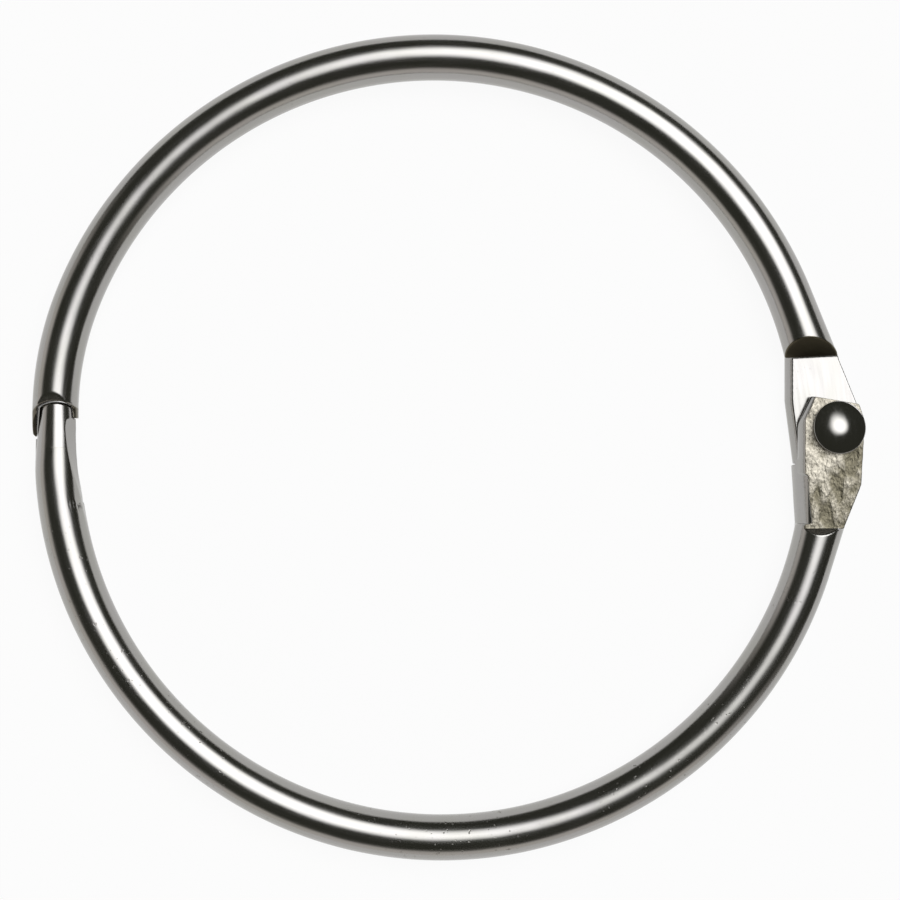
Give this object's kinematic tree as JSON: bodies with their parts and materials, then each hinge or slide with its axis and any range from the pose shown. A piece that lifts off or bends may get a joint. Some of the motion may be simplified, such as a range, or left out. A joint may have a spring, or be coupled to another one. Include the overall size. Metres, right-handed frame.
{
  "type": "binder ring",
  "caption": "Hinged loose-leaf ring of nickel-plated wire: two half rings on a domed rivet, closed by a fork and tongue clasp.",
  "frame": {"origin": "centre of the closed ring's opening, on the wire's mid-plane", "axes": "+Z out of the ring's plane along the rivet, towards its domed head; +X from the centre towards the hinge; +Y towards the fork half"},
  "size_m": [0.0584, 0.058, 0.0037],
  "materials": {
    "fork_wire": "polished nickel plate on round steel wire",
    "tongue_wire": "polished nickel plate on round steel wire, with a rough coined face on the tab",
    "rivet": "polished nickel plate"
  },
  "bodies": {
    "fork": {"fork_half": "fork_wire", "hinge_rivet": "rivet"},
    "tongue": {"tongue_half": "tongue_wire"}
  },
  "joints": [
    {"name": "ring_hinge", "type": "hinge", "parent": "fork", "child": "tongue", "pos_m": [0.02805, 0.0014, 0], "axis": [0, 0, 1], "range_deg": [0, 135]}
  ]
}
